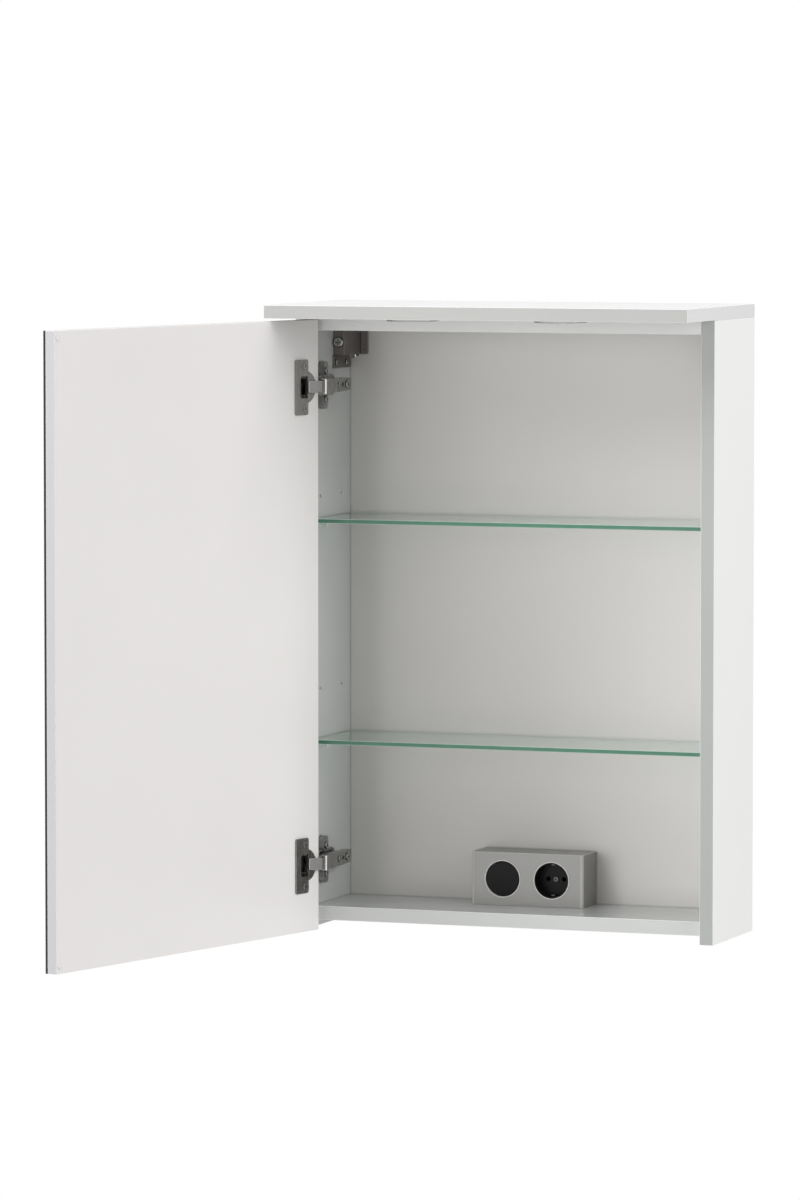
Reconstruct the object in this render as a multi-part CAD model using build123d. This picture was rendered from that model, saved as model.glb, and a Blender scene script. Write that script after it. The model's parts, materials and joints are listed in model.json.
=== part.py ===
"""Wall-hung mirror cabinet with one door, two glass shelves, a lit cornice and a switch and socket box.

Sizes are in millimetres. X runs to the right seen from the room, Y runs into the wall and Z runs up.
The pieces are laid out with Y = 0 on the wall and Z = 0 under the side panels. Each is then lowered
so that the origin is the middle of the four wall screws. The door stands open at its resting angle.
"""
from build123d import *
from math import atan2, cos, degrees, hypot, radians, sin
import os

os.makedirs("parts", exist_ok=True)

# Carcass boards
cabinet_width = 500.0
cabinet_depth = 150.0
side_height = 700.0
board = 16.0
bottom_raise = 9.0
bottom_setback = 10.0
back_thickness = 4.0
back_cavity = 11.0
groove_depth = 6.0
groove_fit = 0.1
edge_round = 0.6
cornice_thickness = 15.0
cornice_overhang = 100.0

# Carcass fittings
front_cam_row = 37.0
rear_cam_from_rear = 49.0
front_dowel_row = 69.0
rear_dowel_from_rear = 28.0
cam_radius = 7.5
cam_height = 12.5
cam_inset = 24.0
cam_bolt_radius = 3.0
cam_bolt_thread_radius = 2.5
cam_bolt_head_radius = 3.6
dowel_radius = 4.0
dowel_length = 30.0
side_bore_depth = 11.0
bore_fit = 0.05
cornice_screw_x = 150.0
cornice_screw_rows = (30.0, 105.0)
cornice_screw_bite = 9.0

# Shelves
shelf_thickness = 5.0
shelf_side_gap = 1.2
shelf_front_gap = 8.0
shelf_back_gap = 2.0
shelf_pin_heights = (461.4, 208.4)
spare_hole_rises = (32.0, 64.0)
shelf_pin_rows = (37.0, 106.0)
pin_radius = 2.5
pin_depth = 8.0
pin_flange_radius = 3.9
pin_flange = 1.0
pin_stub = 8.0
pin_hole_depth = 9.5
shelf_seat = 0.1

# Door
door_gap = 2.3
door_side_gap = 1.5
door_top_gap = 3.5
core_thickness = 12.0
mirror_thickness = 3.0
bumper_radius = 3.5
bumper_height = 2.0
bumper_inset = 6.0
bumper_end_inset = 8.6

# Hinge swing, seen from above: the link turns left while the door turns right
door_opening = 104.0
link_turn = 39.53
hinge_end_distance = 76.0
arm_pivot_from_side = 17.0
arm_pivot_from_front = 1.95
cup_pivot_along = 11.6
cup_pivot_deep = 4.6

# Hinge cup
cup_centre = 24.5
cup_radius = 17.5
cup_wall = 0.8
cup_depth = 11.0
cup_bore_fit = 0.1
cup_bore_spare = 0.2
cup_lip = 1.0
lug_radius = 18.0
flange_start = 22.5
flange_end = 47.0
flange_height = 63.0
flange_thickness = 2.0
flange_corner = 3.0
mouth_end = 38.0
mouth_height = 25.0
notch_start = 9.0
notch_height = 14.4
cup_screw_along = 29.5
cup_screw_pitch = 48.0
cup_pin_radius = 1.2
cup_pin_length = 20.2
pin_pocket_end = 15.5
pin_pocket_height = 18.8
spring_radius = 2.1
spring_length = 6.6

# Hinge link, drawn along the line from the cup pivot to the arm pivot, with its bulge to the side
link_half_height = 6.65
link_plate = 1.0
link_eye_radius = 2.1
link_hub_radius = 3.0
link_inner_edge = ((2.0, -0.4), (3.3, 5.3), (4.7, 6.3), (11.8, 4.6), (16.5, 2.6))
link_outer_edge = ((17.0, 7.2), (12.0, 8.9), (6.0, 7.9), (2.6, 6.4), (0.2, 5.0), (-2.0, 0.5))
pivot_fit = 0.05
link_side_gap = 0.35

# Hinge arm and its mounting plate
arm_pin_radius = 1.3
arm_cheek_radius = 3.4
arm_front_half = 8.75
arm_rear_half = 7.3
arm_wall = 1.4
arm_top_from_side = 20.0
arm_skirt_from_side = 10.0
arm_top_start = 10.0
arm_end = 84.5
adjuster_row = 45.6
slot_row = 57.0
clamp_row = 70.4
arm_slot_length = 9.0
arm_slot_width = 4.0
plate_start = 17.0
plate_end = 66.0
plate_half_height = 12.0
plate_thickness = 6.0
rail_half_height = 5.4
rail_end = 80.0
wing_start = 30.0
wing_end = 44.0
wing_span = 54.5
wing_thickness = 7.0
wing_corner = 6.5
plate_screw_pitch = 32.0

# Hangers, their hooks and the wall plates; starts and rows run forward from the back panel
hanger_width = 13.0
hanger_height = 31.0
hanger_length = 55.0
hanger_wall = 1.5
hanger_ear = 9.5
tab_height = 15.0
tab_start = 58.0
tab_end = 2.0
tab_screw_rows = (50.0, 16.4)
tab_screw_drop = 8.5
tongue_rows = (34.0, 19.0)
tongue_drop = 4.0
hook_from_side = 6.5
hook_drop = 16.0
hook_thickness = 3.0
hook_depth = 8.0
hook_start = 38.0
hook_nut_length = 9.0
hook_nut_width = 8.0
hook_tooth_drop = 12.0
hook_slot_play = 2.0
wall_plate_thickness = 2.0
wall_plate_width = 36.0
wall_plate_from_side = 3.0
wall_plate_height = 44.0
wall_lip_height = 14.0
wall_lip_space = 2.0
lip_play = 0.3
wall_hole_radius = 3.0
wall_hole_pitch = 24.0
wall_hole_from_lip = 22.0

# Lights in the cornice
light_x = 87.3
light_from_front = 45.0
light_ring_radius = 30.0
light_ring_drop = 2.6
light_body_radius = 25.0
light_body_height = 11.0
light_wall = 1.5
light_pocket_radius = 27.5
light_pocket_depth = 12.0
light_lens_thickness = 1.6
led_board_thickness = 1.2
light_clip_width = 6.0
light_clip_thickness = 0.5
light_clip_play = 0.3
lead_radius = 1.5
lead_bore_radius = 2.2
lead_bore_rise = 6.0
lead_from_wall = 4.0
lead_bend = 8.0
lead_notch_width = 8.0

# Driver and leads behind the back panel
driver_half_width = 60.0
driver_height = 35.0
driver_thickness = 9.5
driver_drop = 59.0
driver_tab = 8.0
driver_tab_thickness = 2.0
driver_outlet_x = 45.0
mains_lead_radius = 2.0
mains_lead_x = 32.0
mains_lead_from_wall = 3.5
mains_bend = 8.0
clip_heights = (180.0, 320.0, 460.0)
clip_width = 8.0
clip_fit = 0.05

# Switch and socket box
box_width = 135.0
box_depth = 49.0
box_height = 61.0
box_wall = 2.0
box_corner = 4.0
box_base_thickness = 3.0
box_base_fit = 0.2
insert_from_side = 38.0
insert_rise = 30.6
insert_hole_radius = 21.6
insert_fit = 0.1
trim_width = 0.9
trim_proud = 0.6
trim_depth = 3.6
rocker_radius = 19.9
rocker_thickness = 3.0
rocker_proud = 0.5
rocker_tilt = 3.75
rocker_pivot_depth = 5.5
rocker_ear = 3.0
rocker_ear_x = 17.0
rocker_pin_radius = 1.4
rocker_pin_length = 2.4
rocker_stem = 8.0
switch_tube_depth = 6.0
switch_plate = 2.0
switch_plate_hole = 8.0
switch_pillar = 3.0
switch_block = (24.0, 20.0, 28.0)
socket_rim_proud = 0.4
socket_wall = 1.0
socket_recess_radius = 19.5
socket_recess_depth = 17.5
socket_floor = 2.5
contact_pitch = 19.0
contact_hole_radius = 2.75
contact_radius = 3.6
contact_length = 15.0
earth_height = 17.0
earth_width = 4.0
earth_thickness = 1.0
earth_reach = 11.0
socket_screw_radius = 3.2
terminal_size = (28.0, 11.0, 12.0)
grommet_radius = 5.0
grommet_flange_radius = 6.5
grommet_flange = 1.0
inlet_bore_radius = 3.3
lead_hole_radius = 2.4
inlet_x = -38.0
inlet_rise = 15.0
lead_rise = 10.0
base_screw_inset = 12.0

# Screws: head radius, head height, shank radius, length under the head
cornice_screw = (4.0, 2.0, 2.0, board + cornice_screw_bite)
plate_screw = (4.2, 1.6, 2.4, 17.5)
adjuster_screw = (3.6, 1.2, 2.4, 9.0)
clamp_screw = (4.4, 2.0, 2.9, 9.0)
cup_screw = (4.0, 0.8, 1.8, 11.0)
hanger_screw = (3.3, 1.5, 1.6, 13.0)
hanger_adjuster = (5.65, 3.0, 2.5, 24.0)
base_screw = (3.0, 1.4, 1.5, 5.5)
centre_screw = (socket_screw_radius, 1.6, 1.6, 9.0)
screw_fit = 0.05

# Places that follow from the sizes
half_width = cabinet_width / 2
inner_x = half_width - board
front_y = -cabinet_depth
cam_rows = (front_cam_row, cabinet_depth - rear_cam_from_rear)
dowel_rows = (front_dowel_row, cabinet_depth - rear_dowel_from_rear)
back_rear_y = -back_cavity
back_front_y = back_rear_y - back_thickness
bottom_top = bottom_raise + board
top_bottom = side_height - board
door_height = side_height - door_top_gap
driver_top = top_bottom - driver_drop
driver_bottom = driver_top - driver_height
box_back_y = back_front_y
box_front_y = box_back_y - box_depth
insert_height = bottom_top + insert_rise
wall_lip_top = top_bottom - hook_drop - hook_depth / 2
wall_lip_bottom = wall_lip_top - wall_lip_height
wall_holes_height = wall_lip_top - wall_hole_from_lip - wall_hole_pitch / 2
wall_hole_x = inner_x - wall_plate_from_side - wall_plate_width / 2


def behind_front(distance):
    """Give the Y of a place measured back from the side panels' front edges."""
    return front_y + distance


def before_back(distance):
    """Give the Y of a place measured forward from the back panel's face."""
    return back_front_y - distance


def block(x0, x1, y0, y1, z0, z1):
    """Make a box between two corners."""
    middle = Pos((x0 + x1) / 2, (y0 + y1) / 2, (z0 + z1) / 2)
    return middle * Box(abs(x1 - x0), abs(y1 - y0), abs(z1 - z0))


def rod(radius, start, end):
    """Make a round bar from one point to another."""
    axis = Vector(*end) - Vector(*start)
    bar = Cylinder(radius, axis.length, align=(Align.CENTER, Align.CENTER, Align.MIN))
    return Plane(origin=start, z_dir=axis) * bar


def tube(outer, inner, start, end):
    """Make a round bar with a round hole along it."""
    return rod(outer, start, end) - rod(inner, start, end)


def rounded(shape, axis, radius):
    """Round the straight edges of a shape that run along one axis."""
    return fillet(shape.edges().filter_by(axis), radius)


def screw(sizes, seat, facing):
    """Make a cross-head screw with its head's underside on a point, facing out along a direction."""
    head_radius, head_height, shank_radius, length = sizes
    head = Cylinder(head_radius, head_height, align=(Align.CENTER, Align.CENTER, Align.MIN))
    head = fillet(head.edges().sort_by(Axis.Z)[-1], head_height * 0.4)
    shank = Cylinder(shank_radius, length - shank_radius, align=(Align.CENTER, Align.CENTER, Align.MAX))
    tip = Pos(0, 0, shank_radius - length) * Cone(
        shank_radius * 0.4, shank_radius, shank_radius, align=(Align.CENTER, Align.CENTER, Align.MAX)
    )
    recess_length = head_radius * 1.1
    recess_width = head_radius * 0.26
    recess = Box(recess_length, recess_width, head_height) + Box(recess_width, recess_length, head_height)
    body = head + shank + tip - Pos(0, 0, head_height) * recess
    return Plane(origin=seat, z_dir=facing) * body


def screw_bore(sizes, seat, facing):
    """Make the hole that a screw passes through and bites into."""
    length = sizes[3] + screw_fit
    direction = Vector(*facing).normalized()
    return rod(sizes[2] + screw_fit, seat, tuple(Vector(*seat) - direction * length))


def mirrored(shape):
    """Copy a shape from the left side of the cabinet to the right side."""
    return mirror(shape, about=Plane.YZ)


def save(name, *pieces):
    """Lower the pieces to the wall screws' origin and write them as one node."""
    solids = [solid for piece in pieces for solid in piece.solids()]
    lowered = [solid.moved(Location((0, 0, -wall_holes_height))) for solid in solids]
    shape = lowered[0] if len(lowered) == 1 else Compound(children=lowered)
    export_step(shape, f"parts/{name}.step")


# Hinge places: the arm pivot stands on the cabinet, the cup pivot in the door
hinge_heights = (door_height - hinge_end_distance, hinge_end_distance)
arm_pivot = (-inner_x + arm_pivot_from_side, behind_front(arm_pivot_from_front))
door_corner = (-half_width + door_side_gap, behind_front(-door_gap))
cup_pivot_closed = (door_corner[0] + cup_pivot_along, door_corner[1] - cup_pivot_deep)
reach_x = cup_pivot_closed[0] - arm_pivot[0]
reach_y = cup_pivot_closed[1] - arm_pivot[1]
link_length = hypot(reach_x, reach_y)
link_angle = degrees(atan2(reach_y, reach_x)) + link_turn
cup_pivot = (
    arm_pivot[0] + link_length * cos(radians(link_angle)),
    arm_pivot[1] + link_length * sin(radians(link_angle)),
)
door_place = Pos(*cup_pivot, 0) * Rot(0, 0, -door_opening) * Pos(-cup_pivot_along, cup_pivot_deep, 0)
door_width = cabinet_width - 2 * door_side_gap


def in_plate(outline, start, thickness):
    """Extrude an outline drawn in X and Y upwards from a height."""
    return Pos(0, 0, start) * extrude(make_face(outline), amount=thickness)


def hanger_box():
    """Give the corners of the left hanger's case."""
    x0 = -inner_x
    z1 = top_bottom
    return x0, x0 + hanger_width, before_back(hanger_length), back_front_y, z1 - hanger_height, z1


def joint_heights():
    """Give each cross board's middle height and the side that its cams open to."""
    return ((side_height - board / 2, 1), (bottom_raise + board / 2, -1))


def side_panel():
    """Make the left side panel with its groove and every fitting bore but the hinge's."""
    panel = block(-half_width, -inner_x, front_y, 0, 0, side_height)
    panel = fillet(panel.edges(), edge_round)
    floor_x = -inner_x - groove_depth
    panel -= block(floor_x, -inner_x, back_front_y - groove_fit, back_rear_y + groove_fit, 0, side_height)
    bore_x = -inner_x - side_bore_depth - bore_fit
    for height, _ in joint_heights():
        for row in cam_rows:
            start = (bore_x, behind_front(row), height)
            panel -= rod(cam_bolt_thread_radius + bore_fit, start, (-inner_x, start[1], height))
        for row in dowel_rows:
            start = (bore_x, behind_front(row), height)
            panel -= rod(dowel_radius + bore_fit, start, (-inner_x, start[1], height))
    for height, rise in zip(shelf_pin_heights, spare_hole_rises):
        for row in shelf_pin_rows:
            for level in (height, height + rise):
                start = (-inner_x - pin_hole_depth, behind_front(row), level)
                panel -= rod(pin_radius + bore_fit, start, (-inner_x, start[1], level))
    for place in hanger_screw_places():
        panel -= screw_bore(hanger_screw, place, (1, 0, 0))
    return panel


def cross_board(height, side, front, groove_floor):
    """Make the top or bottom panel between the sides, with its cam, bolt and dowel bores."""
    panel = block(-inner_x, inner_x, front, 0, height - board / 2, height + board / 2)
    front_edges = panel.edges().filter_by(Axis.X).sort_by(Axis.Y)[:2]
    panel = fillet(front_edges, edge_round)
    inner_face = height - side * board / 2
    panel -= block(
        -inner_x, inner_x, back_front_y - groove_fit, back_rear_y + groove_fit, inner_face, groove_floor
    )
    outer_face = height + side * board / 2
    for end in (-1, 1):
        for row in cam_rows:
            y = behind_front(row)
            cam_x = end * (inner_x - cam_inset)
            pocket_end = outer_face - side * (cam_height + bore_fit)
            panel -= rod(cam_radius + bore_fit, (cam_x, y, pocket_end), (cam_x, y, outer_face))
            panel -= rod(cam_bolt_radius + bore_fit, (cam_x, y, height), (end * inner_x, y, height))
        for row in dowel_rows:
            y = behind_front(row)
            dowel_x = end * (inner_x - dowel_length + side_bore_depth - bore_fit)
            panel -= rod(dowel_radius + bore_fit, (dowel_x, y, height), (end * inner_x, y, height))
    return panel


def make_carcass():
    """Write the boards of the cabinet."""
    left = side_panel()
    right = mirrored(left)
    for height in hinge_heights:
        for place in plate_screw_places(height):
            left -= screw_bore(plate_screw, place, (1, 0, 0))
    save("side_panel_left", left)
    save("side_panel_right", right)

    top_height, bottom_height = [height for height, _ in joint_heights()]
    top = cross_board(top_height, 1, front_y, top_bottom + groove_depth)
    bottom = cross_board(bottom_height, -1, behind_front(bottom_setback), bottom_top - groove_depth)
    for x in (-light_x, light_x):
        half = lead_notch_width / 2
        top -= block(x - half, x + half, back_rear_y, 0, top_bottom, side_height)
    for place in cornice_screw_places():
        top -= screw_bore(cornice_screw, place, (0, 0, -1))
        seat = (place[0], place[1], place[2] + cornice_screw[1])
        top -= rod(cornice_screw[0] + bore_fit, (place[0], place[1], top_bottom), seat)
    save("top_panel", top)
    save("bottom_panel", bottom)

    edge = inner_x + groove_depth - groove_fit
    back = block(
        -edge, edge, back_front_y, back_rear_y,
        bottom_top - groove_depth + groove_fit, top_bottom + groove_depth - groove_fit,
    )
    for side in (-1, 1):
        back -= hook_slot(side)
    for x, height, _ in grommet_places():
        back -= rod(grommet_radius, (x, back_front_y, height), (x, back_rear_y, height))
    for place in box_base_screw_places():
        back -= screw_bore(base_screw, place, (0, -1, 0))
    for place in driver_screw_places():
        back -= screw_bore(base_screw, place, (0, 1, 0))
    save("back_panel", back)


def cornice_screw_places():
    """Give the countersunk seats of the screws that hold the cornice, in the top panel's underside."""
    seat_z = top_bottom + cornice_screw[1]
    return [
        (x, behind_front(row), seat_z)
        for x in (-cornice_screw_x, cornice_screw_x)
        for row in cornice_screw_rows
    ]


def make_cornice():
    """Write the cornice with its light pockets, lead bores and screw holes."""
    cornice_top = side_height + cornice_thickness
    front = behind_front(-cornice_overhang)
    cornice = block(-half_width, half_width, front, 0, side_height, cornice_top)
    cornice = fillet(cornice.edges(), edge_round)
    light_y = front + light_from_front
    bore_z = side_height + lead_bore_rise
    for x in (-light_x, light_x):
        pocket_top = side_height + light_pocket_depth
        cornice -= rod(light_pocket_radius, (x, light_y, side_height), (x, light_y, pocket_top))
        cornice -= rod(lead_bore_radius, (x, light_y, bore_z), (x, 0, bore_z))
        half = lead_notch_width / 2
        notch_front = -lead_from_wall - lead_bend - lead_radius
        cornice -= block(x - half, x + half, notch_front, 0, side_height, bore_z + lead_bore_radius)
    for place in cornice_screw_places():
        cornice -= screw_bore(cornice_screw, place, (0, 0, -1))
    save("cornice", cornice)
    save("cornice_screws", *[screw(cornice_screw, place, (0, 0, -1)) for place in cornice_screw_places()])


def make_fittings():
    """Write the dowels, cam bolts and cams that join the boards."""
    dowels = []
    bolts = []
    cams = []
    for height, side in joint_heights():
        for end in (-1, 1):
            for row in dowel_rows:
                y = behind_front(row)
                outer = end * (inner_x + side_bore_depth)
                dowels.append(rod(dowel_radius, (outer, y, height), (outer - end * dowel_length, y, height)))
            for row in cam_rows:
                y = behind_front(row)
                cam_x = end * (inner_x - cam_inset)
                outer = end * (inner_x + side_bore_depth)
                neck = cam_x + end * cam_radius
                bolt = rod(cam_bolt_thread_radius, (outer, y, height), (end * inner_x, y, height))
                bolt += rod(cam_bolt_radius, (end * inner_x, y, height), (neck, y, height))
                bolt += rod(cam_bolt_radius / 2, (neck, y, height), (cam_x, y, height))
                bolt += Pos(cam_x, y, height) * Sphere(cam_bolt_radius)
                bolts.append(bolt)
                cams.append(cam(cam_x, y, height, side, end))
    save("carcass_dowels", *dowels)
    save("cam_bolts", *bolts)
    save("cam_locks", *cams)


def cam(x, y, height, side, end):
    """Make one cam, hollow where the bolt's head enters, with a cross slot in its outer face."""
    outer_face = height + side * board / 2
    inner_face = outer_face - side * cam_height
    body = rod(cam_radius, (x, y, inner_face), (x, y, outer_face))
    mouth = x + end * (cam_radius + bore_fit)
    body -= rod(cam_bolt_head_radius, (x - end * cam_bolt_head_radius, y, height), (mouth, y, height))
    slot_long = cam_radius
    slot_wide = cam_radius / 5
    slot = Box(slot_long, slot_wide, slot_wide) + Box(slot_wide, slot_long, slot_wide)
    return body - Pos(x, y, outer_face) * slot


def make_shelves():
    """Write the two glass shelves and the eight pins under them."""
    pins = []
    shelf_half = inner_x - shelf_side_gap
    for name, height in zip(("shelf_upper", "shelf_lower"), shelf_pin_heights):
        underside = height + pin_radius + shelf_seat
        front = behind_front(shelf_front_gap)
        rear = back_front_y - shelf_back_gap
        shelf = block(-shelf_half, shelf_half, front, rear, underside, underside + shelf_thickness)
        save(name, fillet(shelf.edges(), edge_round))
        for row in shelf_pin_rows:
            y = behind_front(row)
            face = -inner_x
            pin = rod(pin_radius, (face - pin_depth, y, height), (face + pin_flange + pin_stub, y, height))
            pin += rod(pin_flange_radius, (face, y, height), (face + pin_flange, y, height))
            pins += [pin, mirrored(pin)]
    save("shelf_pins", *pins)


def plate_screw_places(height):
    """Give the seats of one mounting plate's two screws."""
    x = -inner_x + wing_thickness
    y = behind_front((wing_start + wing_end) / 2)
    return [(x, y, height + side * plate_screw_pitch / 2) for side in (-1, 1)]


def mounting_plate(height):
    """Make the plate on the side panel, with its wings and the rail that carries the arm."""
    x0 = -inner_x
    rail_top = x0 + arm_top_from_side - arm_wall
    wings = block(
        x0, x0 + wing_thickness, behind_front(wing_start), behind_front(wing_end),
        height - wing_span / 2, height + wing_span / 2,
    )
    plate = rounded(wings, Axis.X, wing_corner)
    plate += block(
        x0, x0 + plate_thickness, behind_front(plate_start), behind_front(plate_end),
        height - plate_half_height, height + plate_half_height,
    )
    plate += block(
        x0, rail_top, behind_front(plate_start), behind_front(rail_end),
        height - rail_half_height, height + rail_half_height,
    )
    for place in plate_screw_places(height):
        plate -= screw_bore(plate_screw, place, (1, 0, 0))
    for sizes, place in arm_screw_places(height):
        plate -= screw_bore(sizes, place, (1, 0, 0))
    return plate


def arm_screw_places(height):
    """Give the sizes and seats of the two screws in one arm."""
    x = -inner_x + arm_top_from_side
    return [
        (adjuster_screw, (x, behind_front(adjuster_row), height)),
        (clamp_screw, (x, behind_front(clamp_row), height)),
    ]


def hinge_arm(height):
    """Make the channel that reaches from the mounting plate to the arm pivot."""
    pivot_x, pivot_y = arm_pivot
    skirt_x = -inner_x + arm_skirt_from_side
    top_x = -inner_x + arm_top_from_side
    nose_y = pivot_y - arm_cheek_radius
    start_y = behind_front(arm_top_start)
    end_y = behind_front(arm_end)
    side_view = Polyline(
        (pivot_x + arm_cheek_radius, pivot_y), (top_x, start_y), (top_x, end_y),
        (skirt_x + arm_cheek_radius, end_y), (skirt_x, end_y - arm_cheek_radius),
        (skirt_x, behind_front(plate_start)), (pivot_x - arm_cheek_radius, pivot_y), close=True,
    )
    low = height - arm_front_half
    body = in_plate(side_view, low, 2 * arm_front_half)
    body += rod(arm_cheek_radius, (pivot_x, pivot_y, low), (pivot_x, pivot_y, low + 2 * arm_front_half))
    inner_front = link_half_height + link_side_gap
    inner_rear = arm_rear_half - arm_wall
    body &= tapered(height, nose_y, start_y, end_y, arm_front_half, arm_rear_half, skirt_x, top_x + arm_wall)
    body -= tapered(height, nose_y, start_y, end_y, inner_front, inner_rear, skirt_x, top_x - arm_wall)
    body -= block(
        skirt_x, top_x + arm_wall, nose_y, start_y, height - inner_front, height + inner_front
    )
    pin_end = height + arm_front_half
    body -= rod(arm_pin_radius, (pivot_x, pivot_y, low), (pivot_x, pivot_y, pin_end))
    for sizes, place in arm_screw_places(height):
        body -= screw_bore(sizes, place, (1, 0, 0))
    slot_half = arm_slot_length / 2
    slot = block(
        top_x - arm_wall, top_x, behind_front(slot_row - slot_half), behind_front(slot_row + slot_half),
        height - arm_slot_width / 2, height + arm_slot_width / 2,
    )
    return body - rounded(slot, Axis.X, arm_slot_width * 0.45)


def tapered(height, nose_y, start_y, end_y, front_half, rear_half, x0, x1):
    """Make a block along the arm that narrows from its front to its rear."""
    outline = Polyline(
        (nose_y, front_half), (start_y, front_half), (end_y, rear_half),
        (end_y, -rear_half), (start_y, -front_half), (nose_y, -front_half), close=True,
    )
    face = Plane(origin=(x0, 0, height), x_dir=(0, 1, 0), z_dir=(1, 0, 0)) * make_face(outline)
    return extrude(face, amount=x1 - x0, dir=(1, 0, 0))


def hinge_link(height):
    """Make the cranked channel that turns on the arm pin and carries the door's cup pin."""
    hub_foot = (link_length - link_hub_radius * 0.6, -link_hub_radius * 0.8)
    hub_head = (link_length + link_hub_radius * 0.3, link_hub_radius * 0.9)
    points = [*link_inner_edge, hub_foot, hub_head, *link_outer_edge]
    outline = make_face(Polyline(*[(along, -bulge) for along, bulge in points], close=True))
    inner_half = link_half_height - link_plate
    link = extrude(outline, amount=link_half_height, both=True)
    link -= extrude(Pos(0, link_plate, 0) * outline, amount=inner_half, both=True)
    for along, radius in ((0, link_eye_radius), (link_length, link_hub_radius)):
        link += Pos(along, 0, 0) * Cylinder(radius, 2 * link_half_height)
    for along, radius in ((0, cup_pin_radius), (link_length, arm_pin_radius)):
        link -= Pos(along, 0, 0) * Cylinder(radius + pivot_fit, 2 * link_half_height)
    link -= Cylinder(spring_radius + link_side_gap, spring_length + 2 * link_side_gap)
    direction = (arm_pivot[0] - cup_pivot[0], arm_pivot[1] - cup_pivot[1], 0)
    return Plane(origin=(*cup_pivot, height), x_dir=direction, z_dir=(0, 0, 1)) * link


def hinge_cup(height):
    """Make the cup in the door's own frame: X along the door, Y out of its inner face."""
    centre = cup_centre
    half = flange_height / 2
    flange = block(flange_start, flange_end, 0, flange_thickness, height - half, height + half)
    cup = rounded(flange, Axis.Y, flange_corner)
    cup += rod(cup_radius, (centre, -cup_depth, height), (centre, 0, height))
    cup += rod(lug_radius, (centre, 0, height), (centre, cup_lip, height))
    inner_radius = cup_radius - cup_wall
    floor = cup_wall - cup_depth
    hollow = rod(inner_radius, (centre, floor, height), (centre, -cup_lip, height))
    for side in (-1, 1):
        z0 = height + side * pin_pocket_height / 2
        z1 = height + side * cup_radius
        hollow -= block(centre - cup_radius, pin_pocket_end, floor, -cup_lip, z0, z1)
    cup -= hollow
    notch = block(
        notch_start, mouth_end, floor, flange_thickness, height - notch_height / 2, height + notch_height / 2
    )
    mouth = block(
        flange_start, mouth_end, floor, flange_thickness, height - mouth_height / 2, height + mouth_height / 2
    )
    column = rod(inner_radius, (centre, floor, height), (centre, flange_thickness, height))
    cup -= (notch + mouth) & column
    cup -= pin_bar(height, cup_pin_radius + screw_fit / 2, cup_pin_length)
    for place in cup_screw_places(height):
        cup -= screw_bore(cup_screw, place, (0, 1, 0))
    return cup


def pin_bar(height, radius, length):
    """Make an upright bar at the cup pivot, in the door's own frame."""
    low = height - length / 2
    high = height + length / 2
    return rod(radius, (cup_pivot_along, -cup_pivot_deep, low), (cup_pivot_along, -cup_pivot_deep, high))


def cup_screw_places(height):
    """Give the seats of one cup's two screws, in the door's own frame."""
    return [
        (cup_screw_along, flange_thickness, height + side * cup_screw_pitch / 2) for side in (-1, 1)
    ]


def cup_spring(height):
    """Make the closing spring, as a closed coil on the cup pin between the link's knuckles."""
    low = (cup_pivot_along, -cup_pivot_deep, height - spring_length / 2)
    high = (cup_pivot_along, -cup_pivot_deep, height + spring_length / 2)
    return tube(spring_radius, cup_pin_radius + bore_fit, low, high)


def make_hinges():
    """Write both hinges: plates, arms, links, cups, pins, springs and screws."""
    plate_screws = []
    arm_screws = []
    arm_pins = []
    cup_pins = []
    springs = []
    cup_screws = []
    for name, height in zip(("upper", "lower"), hinge_heights):
        save(f"hinge_plate_{name}", mounting_plate(height))
        save(f"hinge_arm_{name}", hinge_arm(height))
        save(f"hinge_link_{name}", hinge_link(height))
        save(f"hinge_cup_{name}", door_place * hinge_cup(height))
        plate_screws += [screw(plate_screw, place, (1, 0, 0)) for place in plate_screw_places(height)]
        arm_screws += [screw(sizes, place, (1, 0, 0)) for sizes, place in arm_screw_places(height)]
        low = height - arm_front_half
        arm_pins.append(rod(arm_pin_radius, (*arm_pivot, low), (*arm_pivot, low + 2 * arm_front_half)))
        cup_pins.append(door_place * pin_bar(height, cup_pin_radius, cup_pin_length))
        springs.append(door_place * cup_spring(height))
        cup_screws += [door_place * screw(cup_screw, place, (0, 1, 0)) for place in cup_screw_places(height)]
    save("hinge_plate_screws", *plate_screws)
    save("hinge_arm_screws", *arm_screws)
    save("hinge_arm_pins", *arm_pins)
    save("hinge_cup_pins", *cup_pins)
    save("hinge_cup_springs", *springs)
    save("hinge_cup_screws", *cup_screws)


def make_door():
    """Write the door board, its mirror and its two bumpers."""
    core = block(0, door_width, -core_thickness, 0, 0, door_height)
    core = fillet(core.edges(), edge_round)
    for height in hinge_heights:
        deep = -cup_depth - cup_bore_spare
        core -= rod(cup_radius + cup_bore_fit, (cup_centre, deep, height), (cup_centre, 0, height))
        for place in cup_screw_places(height):
            core -= screw_bore(cup_screw, place, (0, 1, 0))
    glass_front = -core_thickness - mirror_thickness
    glass = block(0, door_width, glass_front, -core_thickness, 0, door_height)
    bumpers = []
    for height in (bumper_end_inset, door_height - bumper_end_inset):
        x = door_width - bumper_inset
        bumper = rod(bumper_radius, (x, 0, height), (x, bumper_height, height))
        bumpers.append(fillet(bumper.edges().sort_by(Axis.Y)[-1], bumper_height * 0.6))
    save("door_core", door_place * core)
    save("mirror_glass", door_place * fillet(glass.edges(), edge_round))
    save("door_bumpers", *[door_place * bumper for bumper in bumpers])


def hanger_screw_places():
    """Give the seats of the left hanger's two fixing screws."""
    x = -inner_x + hanger_wall
    z = top_bottom - hanger_height - tab_screw_drop
    return [(x, before_back(row), z) for row in tab_screw_rows]


def hook_line():
    """Give the left hook's middle X and height."""
    return -inner_x + hook_from_side, top_bottom - hook_drop


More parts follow.
